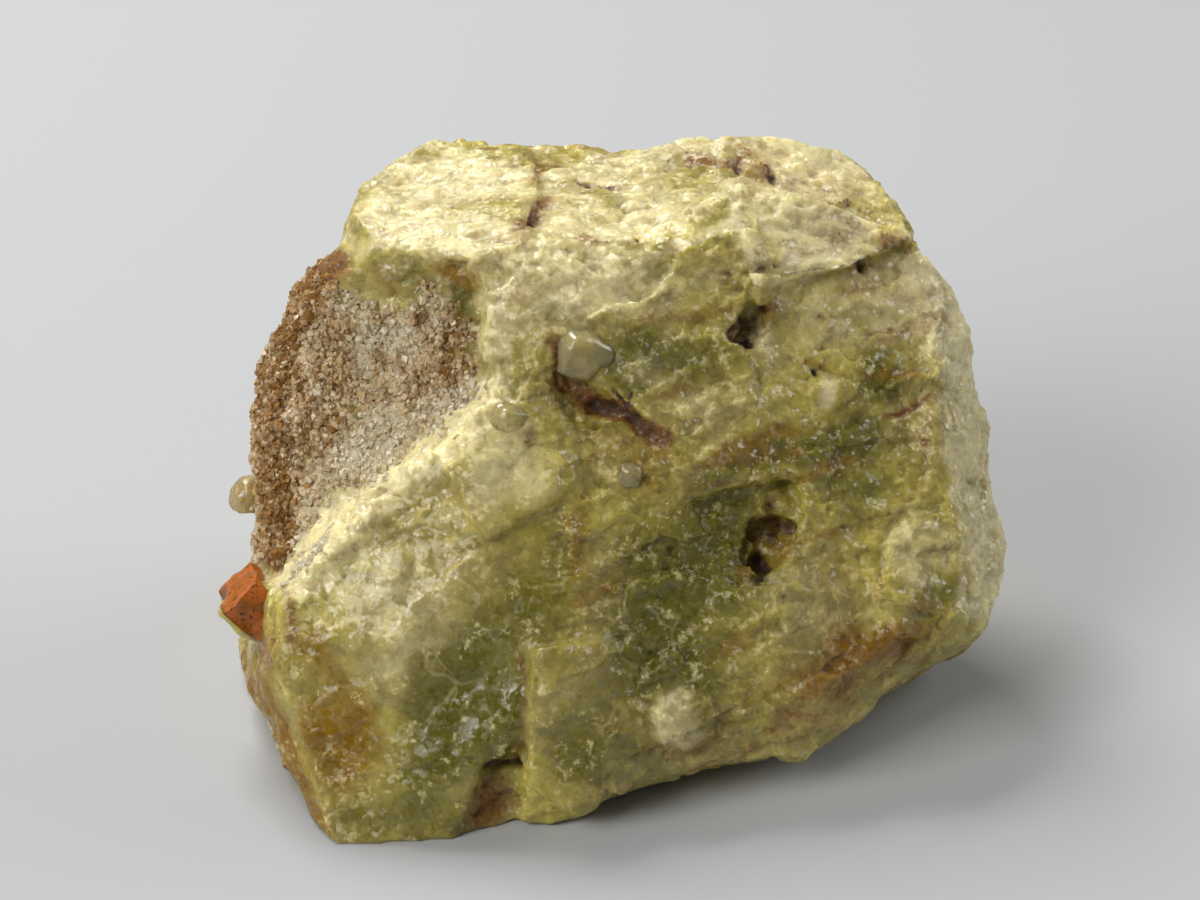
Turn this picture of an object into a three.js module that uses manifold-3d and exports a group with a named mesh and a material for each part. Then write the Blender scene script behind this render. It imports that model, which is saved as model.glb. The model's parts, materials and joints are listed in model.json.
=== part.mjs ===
// Raw datolite: one broken lump of massive, pale-green datolite about 60 mm wide.
// It is one solid. Fracture faces bound the lump, cleavage ledges and pits step its front and back,
// and the small crystals that grew on it are fused to it.
import * as THREE from "three";
import { ImprovedNoise } from "three/addons/math/ImprovedNoise.js";
import { mergeVertices } from "three/addons/utils/BufferGeometryUtils.js";
import Module from "manifold-3d";

const wasm = await Module();
wasm.setup();

// Driving dimensions, in millimetres and degrees
const FRONT_LOOK_DOWN = 32; // the front is drawn as seen from this far above the horizon
const FRONT_EYE = 232; // from the eye to the sight plane through the lump
const BACK_LOOK_DOWN = 20; // the back is drawn from this far above the horizon
const BACK_EYE = 2000; // far off, so the back is drawn nearly square-on
const SIGHT_HEIGHT = 26.2; // height of the sight plane's middle above the base
const CLEAR = 50; // reach of a cutter or a bound past the lump
const LEDGE_RISE = 1.2; // how far a ledge may stand above the fracture faces
const FRONT_EDGE = 3.2; // longest edge of the finished faces in front
const BACK_EDGE = 5.2; // and behind
const FRONT_REACH = -11; // t at which the front ends
const BASE_KEEP = 4; // height over which the base's flatness fades out
const SIDEWAYS = 0.45; // share of the faces' wavering that runs across the front's lines of sight
const MERGE = 1e-4; // corners closer than this are one corner

// A frame to draw in: x to the right, u up and t towards an eye. A point's x and u are those where its
// line of sight crosses the sight plane, t = 0.
function sightFrom(azimuth, lookDown, eye, middle) {
  const a = THREE.MathUtils.degToRad(azimuth);
  const e = THREE.MathUtils.degToRad(lookDown);
  const right = new THREE.Vector3(Math.cos(a), Math.sin(a), 0);
  const toward = new THREE.Vector3(Math.sin(a) * Math.cos(e), -Math.cos(a) * Math.cos(e), Math.sin(e));
  const up = new THREE.Vector3().crossVectors(toward, right);
  const turn = (x, u, t) =>
    new THREE.Vector3().addScaledVector(right, x).addScaledVector(up, u).addScaledVector(toward, t);
  const place = (x, u, t) => turn((x * (eye - t)) / eye, (u * (eye - t)) / eye, t).add(middle);
  return { turn, place };
}

const MIDDLE = new THREE.Vector3(0, 0, SIGHT_HEIGHT);
const FRONT = sightFrom(0, FRONT_LOOK_DOWN, FRONT_EYE, MIDDLE);
const BACK = sightFrom(180, BACK_LOOK_DOWN, BACK_EYE, MIDDLE);
const TOWARD = FRONT.turn(0, 0, 1);

// Outline of the lump on the front's sight plane, anticlockwise from the foot at the lower left
const OUTLINE = [
  [-21.3, -30.9], [-15.5, -30.7], [-7.4, -30.1], [-4.3, -29.1], [-1.2, -28.3], [0.9, -26.8],
  [4.7, -25.6], [9.3, -24.2], [13.2, -23.7], [15.5, -24.4], [16.9, -23.9], [18.4, -22], [20.3, -20.5],
  [22.5, -18.6], [25, -17.1], [28.3, -15.3], [29.8, -13.8], [31, -10.1], [31.2, -7], [30.2, -4.3],
  [29.5, -1.2], [29.8, 1.9], [28.8, 4.5], [28.4, 9.9], [27, 12.2], [25.7, 14.3], [24.2, 15.3],
  [23.7, 17.4], [20.8, 21.6], [19.2, 22.2], [17.2, 24], [16, 24.4], [14.9, 23.9], [12.4, 24],
  [9.5, 24.3], [7, 24], [4.3, 23.5], [1.4, 23], [-0.2, 23.5], [-2.5, 24.1], [-5.4, 23.8], [-9.7, 24.3],
  [-12, 24.1], [-14, 23.1], [-16.7, 21.3], [-18.1, 20.3], [-18.8, 18.2], [-19.8, 15.9], [-22.4, 13.4],
  [-24.4, 9.7], [-26, 6.6], [-26.5, 3.5], [-26.1, 0.8], [-26.4, -1.9], [-26, -4.7], [-26.4, -7.4],
  [-27.1, -10.9], [-27, -13.8], [-28, -14.7], [-27.9, -16.7], [-26.5, -18.6], [-25.2, -21.3],
  [-24, -25.2], [-22.6, -28.3],
];

// Fracture faces that bound the lump: a point on each and the way it faces, on the front's sight plane
const FRACTURES = [
  { name: "lower left", at: [-10, -16, 2], facing: [-0.12, -0.08, 1] },
  { name: "swell of the lower face", at: [-14, -11.8, 1.5], facing: [-0.18, 0.03, 1] },
  { name: "left shoulder of the lower face", at: [-14, -5, 0.9], facing: [-0.24, 0.14, 1] },
  { name: "striated left edge", at: [-24, -21, -1.4], facing: [-0.85, -0.25, 0.55] },
  { name: "middle", at: [5, -8, 1], facing: [0.1, 0.04, 1] },
  { name: "right", at: [20, -4, -2.4], facing: [0.34, 0.06, 1] },
  { name: "right rim", at: [27.5, -2, -6.5], facing: [0.8, 0.1, 0.6] },
  { name: "lower right", at: [14, -20, -1], facing: [0.16, -0.42, 1] },
  { name: "lower right corner", at: [28.2, -14.2, -7.4], facing: [0.55, -0.5, 0.67] },
  { name: "upper front", at: [-2, 11, 0.9], facing: [0.16, 0.28, 1] },
  { name: "upper right", at: [18, 13, -3], facing: [0.34, 0.38, 1] },
  { name: "top", at: [0, 16.4, -1.8], facing: [-0.07, 0.83, 0.55] },
  { name: "top front bevel", at: [0, 15.1, -0.9], facing: [0.05, 0.58, 0.8] },
  { name: "left shoulder of the top", at: [-16, 19, -6], facing: [-0.62, 0.7, 0.42] },
  { name: "upper left flank", at: [-20, 13, -6], facing: [-0.75, 0.45, 0.5] },
  { name: "right shoulder of the top", at: [21.6, 20.6, -9], facing: [0.6, 0.66, 0.44] },
  { name: "left flank", at: [-26, 0, -11], facing: [-0.96, 0.05, 0.25] },
  { name: "undercut", at: [16.7, -24.2, -3], facing: [0.22, -0.92, -0.32] },
  { name: "back", at: [0, 5, -30], facing: [0.1, 0.5, -0.86] },
  { name: "back left", at: [-21, 6, -22], facing: [-0.72, 0.22, -0.66] },
  { name: "back right", at: [23, 3, -22], facing: [0.76, 0.12, -0.64] },
  { name: "back of the top", at: [2, 24, -15.5], facing: [0.05, 0.88, -0.46] },
  { name: "back corner", at: [16, 18.5, -23], facing: [0.45, 0.7, -0.55] },
  { name: "back foot", at: [-8, -9, -34], facing: [-0.25, -0.25, -0.94] },
];

// Ledges broken out of the front: an outline, a point on the floor of the break and the floor's facing
const BREAKS = [
  {
    name: "grainy recess",
    outline: [
      [-34, 9.5], [-9.1, 9.5], [-9.4, 8.5], [-8.9, 5], [-10.4, 3.2], [-13.2, 0.4], [-17.1, -2.7],
      [-20.8, -6], [-23.8, -10.2], [-34, -11],
    ],
    at: [-15, 4, -5.2],
    facing: [-0.4, 0.1, 1],
  },
  {
    name: "slope into the recess",
    outline: [[-34, 9.5], [-34, 17], [-20, 16.6], [-15.5, 15.6], [-10, 14.4], [-8.7, 12], [-9.1, 9.5]],
    at: [-14, 12, -4.3],
    facing: [-0.32, -0.44, 1],
  },
  {
    name: "streaked hollow of the top",
    outline: [[-4, 26], [8, 26], [10.4, 20.4], [3, 16.8], [-3, 16.2], [-4.6, 19.5]],
    at: [2, 20, -8.3],
    facing: [0.1, 1.5, 1],
  },
  {
    name: "sunk block",
    outline: [
      [11.9, 19.2], [15.5, 20.6], [21, 19.6], [24.6, 16.4], [19.4, 14.4], [12.9, 12.8], [12.2, 15.6],
    ],
    at: [15, 16, -4],
    facing: [0.2, 0.52, 1],
  },
  {
    name: "right hollow",
    outline: [
      [12.9, 12.7], [19.4, 14.3], [24.2, 16.2], [27, 13.6], [25.4, 8.6], [25.2, -2.2], [21.6, -5.6],
      [15.5, -2], [12.2, 4], [11.8, 9.4],
    ],
    at: [18, 6, -3.6],
    facing: [0.42, 0.24, 1],
  },
  {
    name: "stained notch",
    outline: [[-12.2, -33], [-9, -24.2], [-5.3, -23.1], [-5.6, -26.4], [-7.2, -33]],
    at: [-8.5, -27, -1.6],
    facing: [0.34, -0.3, 1],
  },
  {
    name: "hollow under the lip",
    outline: [
      [7, -4], [10.9, -3], [14.7, -2.2], [15.5, -3.9], [15.3, -7.4], [14.7, -9.3], [11.6, -10.9],
      [9.3, -9.3],
    ],
    at: [12, -6.5, -0.9],
    facing: [0.2, 0.26, 1],
  },
  {
    name: "lower pit",
    outline: [[11.4, -6], [13.4, -4.6], [14.8, -6.2], [14.2, -8.2], [12.2, -9.6], [11.5, -8.2]],
    at: [13, -7, -2.6],
    facing: [-0.1, 0.2, 1],
  },
  {
    name: "upper pit",
    outline: [[10.4, 10.4], [11.6, 11.8], [13, 10], [12.5, 8.1], [10.9, 7.7]],
    at: [11.7, 9.6, -3.6],
    facing: [0, 0.2, 1],
  },
  {
    name: "rusty crack",
    outline: [
      [-3.8, 8.3], [-2.8, 8.6], [-1.7, 5], [1, 3.6], [3.2, 3], [5, 0.8], [4.2, 0], [2, 1.4],
      [-0.8, 2.4], [-2.8, 4.2],
    ],
    at: [0.8, 3.2, -1.2],
    facing: [0, 0.1, 1],
  },
];

// Ledges left standing on the front: an outline, a point on the top of the ledge and the top's facing
const LEDGES = [
  {
    name: "bulge of the top",
    outline: [[-18.6, 17.4], [-14, 15.6], [-9.6, 14.2], [-5.6, 16], [-4.8, 20], [-5.6, 25], [-19, 25]],
    at: [-11, 19, -6],
    facing: [-0.3, 1.3, 1],
  },
  {
    name: "pale tooth",
    outline: [[-11.7, -1.6], [-9.4, 3.4], [-6.2, 4], [-1.6, 0.8], [-1.8, -3.4], [-8.7, -7]],
    at: [-7, -2, 2.2],
    facing: [-0.16, 0.2, 1],
  },
  {
    name: "white ledge",
    outline: [
      [-24, -10.9], [-23.3, -8.5], [-19.4, -4.7], [-15.5, -1.6], [-12.4, 0.8], [-9.5, 4.2], [-8.7, 3.4],
      [-11.6, -1.2], [-15.5, -3.3], [-19.4, -6.2], [-22.9, -10.9],
    ],
    at: [-15.8, -2.4, 0.8],
    facing: [-0.3, 0.5, 1],
  },
  {
    name: "pale lower slab",
    outline: [[-5.3, -15.5], [0, -14.7], [3.1, -19.4], [4.6, -29], [-1, -28.4], [-5.6, -26]],
    at: [-1.4, -20, 2],
    facing: [0.14, -0.3, 1],
  },
  {
    name: "pale right rim",
    outline: [
      [25.2, 3.4], [33, 3], [34, -16], [28, -15.4], [22.8, -14.6], [21.3, -11.4], [21.8, -7.4],
      [23.4, -5.5], [25.1, -2.4],
    ],
    at: [24.5, -6, -3.1],
    facing: [0.46, 0.05, 1],
  },
  {
    name: "pale flake",
    outline: [[4.3, -19.8], [7.8, -18.6], [8.9, -22.5], [7, -23.4], [4.5, -22.5]],
    at: [6.4, -21, 0.5],
    facing: [0.1, -0.36, 1],
  },
];

// Ledges broken out of the back, in the same terms, as seen from behind
const BACK_BREAKS = [
  {
    name: "back upper step",
    outline: [[-22, 3], [-6, 5.5], [2, 13], [4, 30], [-40, 30], [-40, 3]],
    at: [-12, 10, 20],
    facing: [-0.3, 0.42, 1],
  },
  {
    name: "back lower step",
    outline: [[3, -4], [12, -1], [19, 4], [40, 2], [40, -40], [6, -40]],
    at: [13, -12, 23],
    facing: [0.4, -0.12, 1],
  },
  {
    name: "back hollow",
    outline: [[-9, -9], [-3, -4], [-5, 2], [-13, 1], [-16, -6]],
    at: [-9, -4, 24.5],
    facing: [-0.1, 0.1, 1],
  },
];

// Crystals that stand on the lump: the middle and size of each, its turns in degrees and the radius
// that its worn corners reach
const CRYSTALS = [
  { name: "glassy block", at: [-1.5, 7.6, 0.9], size: [3.4, 3.1, 3.2], turns: [14, 20, 22], round: 1.9 },
  { name: "glassy bump", at: [-7.1, 2.6, 0.9], size: [2.2, 1.9, 2], turns: [30, 18, 40], round: 1.3 },
  { name: "small block", at: [2.1, -1.8, 0.7], size: [1.8, 2.2, 1.8], turns: [10, 14, 12], round: 1.3 },
  { name: "rusty", at: [-26.6, -11.9, -7.6], size: [3.9, 4.6, 3.9], turns: [30, -40, 14], round: 3.1 },
  { name: "bead", at: [-26.9, -3.5, -12.5], size: [3, 3, 3], turns: [0, 0, 0], round: 1.4 },
];

// Wavering of the broken faces: the length of a wave and how far it carries a point, each way
const WAVES = [
  { length: 16, reach: 1.3, shift: 3.7 },
  { length: 6.5, reach: 0.7, shift: 11.3 },
];

// A closed geometry as a solid that can be joined and cut
function solidOf(geometry) {
  const bare = geometry.index ? geometry.toNonIndexed() : geometry;
  const corners = new THREE.BufferGeometry().setAttribute("position", bare.getAttribute("position"));
  const merged = mergeVertices(corners, MERGE);
  return new wasm.Manifold(
    new wasm.Mesh({
      numProp: 3,
      vertProperties: new Float32Array(merged.getAttribute("position").array),
      triVerts: new Uint32Array(merged.index.array),
    }),
  );
}

// Everything beyond a plane, as a block to cut with
function beyond(sight, at, facing) {
  const reach = 3 * CLEAR;
  const block = new THREE.BoxGeometry(2 * reach, 2 * reach, reach).translate(0, 0, reach / 2);
  const normal = sight.turn(...facing).normalize();
  const turn = new THREE.Quaternion().setFromUnitVectors(new THREE.Vector3(0, 0, 1), normal);
  const place = sight.place(...at);
  return solidOf(block.applyQuaternion(turn).translate(place.x, place.y, place.z));
}

// The t of a tilted floor at x and u
function floor(at, facing) {
  return (x, u) => at[2] - (facing[0] * (x - at[0]) + facing[1] * (u - at[1])) / facing[2];
}

// A column along the lines of sight over an outline, between two heights that may be tilted floors
function column(sight, outline, low, high) {
  const shape = new THREE.Shape(outline.map(([x, u]) => new THREE.Vector2(x, u)));
  const geometry = new THREE.ExtrudeGeometry(shape, { depth: 1, bevelEnabled: false });
  const position = geometry.getAttribute("position");
  for (let i = 0; i < position.count; i++) {
    const [x, u] = [position.getX(i), position.getY(i)];
    const t = position.getZ(i) > 0.5 ? high(x, u) : low(x, u);
    position.setXYZ(i, ...sight.place(x, u, t));
  }
  return solidOf(geometry);
}

// A small solid turned and placed on the front
function onFront(geometry, at, turns) {
  const [x, y, z] = turns.map(THREE.MathUtils.degToRad);
  const tilt = new THREE.Euler(x - THREE.MathUtils.degToRad(FRONT_LOOK_DOWN), y, z);
  const place = FRONT.place(...at);
  const move = new THREE.Matrix4().makeRotationFromEuler(tilt).setPosition(place);
  return solidOf(geometry.applyMatrix4(move));
}

// Everything inside the outline and above the flat base
function makeBounds() {
  const upright = sightFrom(0, 90, BACK_EYE, new THREE.Vector3());
  const tube = column(FRONT, OUTLINE, () => -CLEAR, () => CLEAR);
  return tube.subtract(beyond(upright, [0, 0, 0], [0, 0, -1]));
}

// The lump inside its bounds and fracture faces, which may be raised towards the eye
function makeLump(bounds, rise) {
  const cut = (lump, { at: [x, u, t], facing }) => lump.subtract(beyond(FRONT, [x, u, t + rise], facing));
  return FRACTURES.reduce(cut, bounds);
}

// The lump with its ledges broken out or left standing
function stepFaces(bounds) {
  let stepped = makeLump(bounds, 0);
  const limit = makeLump(bounds, LEDGE_RISE);
  for (const { outline, at, facing } of BREAKS) {
    stepped = stepped.subtract(column(FRONT, outline, floor(at, facing), () => CLEAR));
  }
  for (const { outline, at, facing } of BACK_BREAKS) {
    stepped = stepped.subtract(column(BACK, outline, floor(at, facing), () => CLEAR));
  }
  for (const { outline, at, facing } of LEDGES) {
    stepped = stepped.add(column(FRONT, outline, () => -CLEAR, floor(at, facing)).intersect(limit));
  }
  return stepped;
}

// The crystals that grew on the lump, with worn corners
function growCrystals(lump) {
  let grown = lump;
  for (const { at, size, turns, round } of CRYSTALS) {
    const block = onFront(new THREE.BoxGeometry(...size), at, turns);
    grown = grown.add(block.intersect(onFront(new THREE.IcosahedronGeometry(round, 1), at, turns)));
  }
  return grown;
}

// Whether an edge is too long to waver well
function isLong(a, b) {
  const t = a.clone().add(b).multiplyScalar(0.5).sub(MIDDLE).dot(TOWARD);
  return a.distanceTo(b) > (t > FRONT_REACH ? FRONT_EDGE : BACK_EDGE);
}

// Splits every long edge at its middle, apart from those inside the flat base
function splitLongEdges(points, faces) {
  const key = (a, b) => (a < b ? `${a},${b}` : `${b},${a}`);
  const onBase = ([a, b, c]) => [a, b, c].every((i) => Math.abs(points[i].z) < MERGE);
  const long = new Map();
  for (const face of faces) {
    if (onBase(face)) continue;
    for (let k = 0; k < 3; k++) {
      const [a, b] = [face[k], face[(k + 1) % 3]];
      if (isLong(points[a], points[b])) long.set(key(a, b), null);
    }
  }
  const middle = (a, b) => {
    const edge = key(a, b);
    if (!long.has(edge)) return undefined;
    if (long.get(edge) === null) long.set(edge, points.push(points[a].clone().lerp(points[b], 0.5)) - 1);
    return long.get(edge);
  };
  const split = [];
  for (const [a, b, c] of faces) {
    const mids = [middle(a, b), middle(b, c), middle(c, a)];
    const count = mids.filter((m) => m !== undefined).length;
    if (count === 0) split.push([a, b, c]);
    else if (count === 3) {
      const [ab, bc, ca] = mids;
      split.push([a, ab, ca], [ab, b, bc], [ca, bc, c], [ab, bc, ca]);
    } else {
      // Turned so that its first edge is split, and its last one isn't
      const first = [0, 1, 2].find((k) => mids[k] !== undefined && mids[(k + 2) % 3] === undefined);
      const [p, q, r] = [0, 1, 2].map((k) => [a, b, c][(first + k) % 3]);
      const [pq, qr] = [mids[first], mids[(first + 1) % 3]];
      if (qr === undefined) split.push([p, pq, r], [pq, q, r]);
      else if (points[p].distanceTo(points[qr]) < points[pq].distanceTo(points[r])) {
        split.push([p, pq, qr], [pq, q, qr], [p, qr, r]);
      } else split.push([p, pq, r], [pq, q, qr], [pq, qr, r]);
    }
  }
  return { faces: split, changed: long.size > 0 };
}

// Carries a point along a smooth wavering, which leaves the base flat
const noise = new ImprovedNoise();
function waver(point) {
  const carried = point.clone();
  for (const { length, reach, shift } of WAVES) {
    const [x, y, z] = point.toArray().map((v) => v / length + shift);
    const across = reach * SIDEWAYS * noise.noise(x, y, z);
    const along = reach * SIDEWAYS * noise.noise(y + shift, z, x);
    carried.add(FRONT.turn(across, along, reach * noise.noise(z, x + shift, y)));
  }
  carried.z = THREE.MathUtils.lerp(point.z, carried.z, THREE.MathUtils.smoothstep(point.z, 0, BASE_KEEP));
  return carried;
}

// The solid's faces, split small and wavering, as a geometry that stands on the middle of its base
function roughen(solid) {
  const mesh = solid.getMesh();
  const points = [];
  for (let i = 0; i < mesh.numVert; i++) {
    points.push(new THREE.Vector3().fromArray(mesh.vertProperties, i * mesh.numProp));
  }
  let faces = [];
  for (let i = 0; i < mesh.numTri; i++) faces.push([...mesh.triVerts.subarray(3 * i, 3 * i + 3)]);
  for (let changed = true; changed; ) ({ faces, changed } = splitLongEdges(points, faces));
  const geometry = new THREE.BufferGeometry().setFromPoints(points.map(waver)).setIndex(faces.flat());
  geometry.computeBoundingBox();
  const middle = geometry.boundingBox.getCenter(new THREE.Vector3());
  geometry.translate(-middle.x, -middle.y, -geometry.boundingBox.min.z);
  geometry.computeVertexNormals();
  return geometry;
}

const datolite = new THREE.Mesh(
  roughen(growCrystals(stepFaces(makeBounds()))),
  new THREE.MeshStandardMaterial({ color: 0xaeb487, roughness: 0.45, metalness: 0 }),
);
datolite.name = "datolite";

const part = new THREE.Group();
part.add(datolite);

export default part;
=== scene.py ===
"""Raw datolite: a broken lump of massive, pale green datolite with a cream top, a rusty grainy recess
on its left and a few small crystals that grew on it."""

import json
import math

import bmesh
import bpy
import numpy as np
from bpy.props import FloatProperty, FloatVectorProperty, IntProperty, PointerProperty
from mathutils import Matrix, Vector
from mathutils.bvhtree import BVHTree

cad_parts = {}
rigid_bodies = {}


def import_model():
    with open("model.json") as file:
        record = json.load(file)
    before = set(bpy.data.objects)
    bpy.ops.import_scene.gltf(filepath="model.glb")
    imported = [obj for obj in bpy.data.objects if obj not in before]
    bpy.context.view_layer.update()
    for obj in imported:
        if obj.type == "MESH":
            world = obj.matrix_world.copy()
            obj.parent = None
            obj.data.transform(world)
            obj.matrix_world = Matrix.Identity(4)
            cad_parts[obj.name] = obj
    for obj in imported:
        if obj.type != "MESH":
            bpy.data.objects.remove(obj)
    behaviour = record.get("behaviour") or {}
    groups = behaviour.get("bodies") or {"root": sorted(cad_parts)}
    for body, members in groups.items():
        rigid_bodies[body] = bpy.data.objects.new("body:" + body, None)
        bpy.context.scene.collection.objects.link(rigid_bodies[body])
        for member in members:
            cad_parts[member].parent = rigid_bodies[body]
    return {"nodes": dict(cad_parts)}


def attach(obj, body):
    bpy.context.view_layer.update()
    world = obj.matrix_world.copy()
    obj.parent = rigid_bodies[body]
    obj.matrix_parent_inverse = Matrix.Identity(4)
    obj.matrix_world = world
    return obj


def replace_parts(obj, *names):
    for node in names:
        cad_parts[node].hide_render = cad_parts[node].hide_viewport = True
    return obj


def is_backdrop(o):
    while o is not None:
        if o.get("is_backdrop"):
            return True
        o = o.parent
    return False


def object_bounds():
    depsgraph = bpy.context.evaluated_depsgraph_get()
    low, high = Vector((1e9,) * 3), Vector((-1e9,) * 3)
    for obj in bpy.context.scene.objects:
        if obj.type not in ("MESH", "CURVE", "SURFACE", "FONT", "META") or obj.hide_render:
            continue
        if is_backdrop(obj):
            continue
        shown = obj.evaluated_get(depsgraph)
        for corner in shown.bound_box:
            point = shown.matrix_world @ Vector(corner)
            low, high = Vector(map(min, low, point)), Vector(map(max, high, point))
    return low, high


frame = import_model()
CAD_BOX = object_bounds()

bl_info = {
    "name": "Raw datolite",
    "version": (1, 0, 0),
    "blender": (4, 5, 0),
    "location": "3D View > Sidebar > Datolite",
    "description": "Builds a raw datolite lump with its rind, grains, crystals and a plain stage",
    "category": "Object",
}

MM = 0.001
NODE = "datolite"
BODY = "root"

# The front is drawn on a sight plane: x to the right and u up, in millimetres, as seen from the eye.
LOOK_DOWN = math.radians(32)
EYE = 232.0
SIGHT_POINT = np.array([-1.2412, -7.3987, 26.2])
RIGHT = np.array([1.0, 0.0, 0.0])
UP = np.array([0.0, math.sin(LOOK_DOWN), math.cos(LOOK_DOWN)])
TOWARD = np.array([0.0, -math.cos(LOOK_DOWN), math.sin(LOOK_DOWN)])

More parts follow.
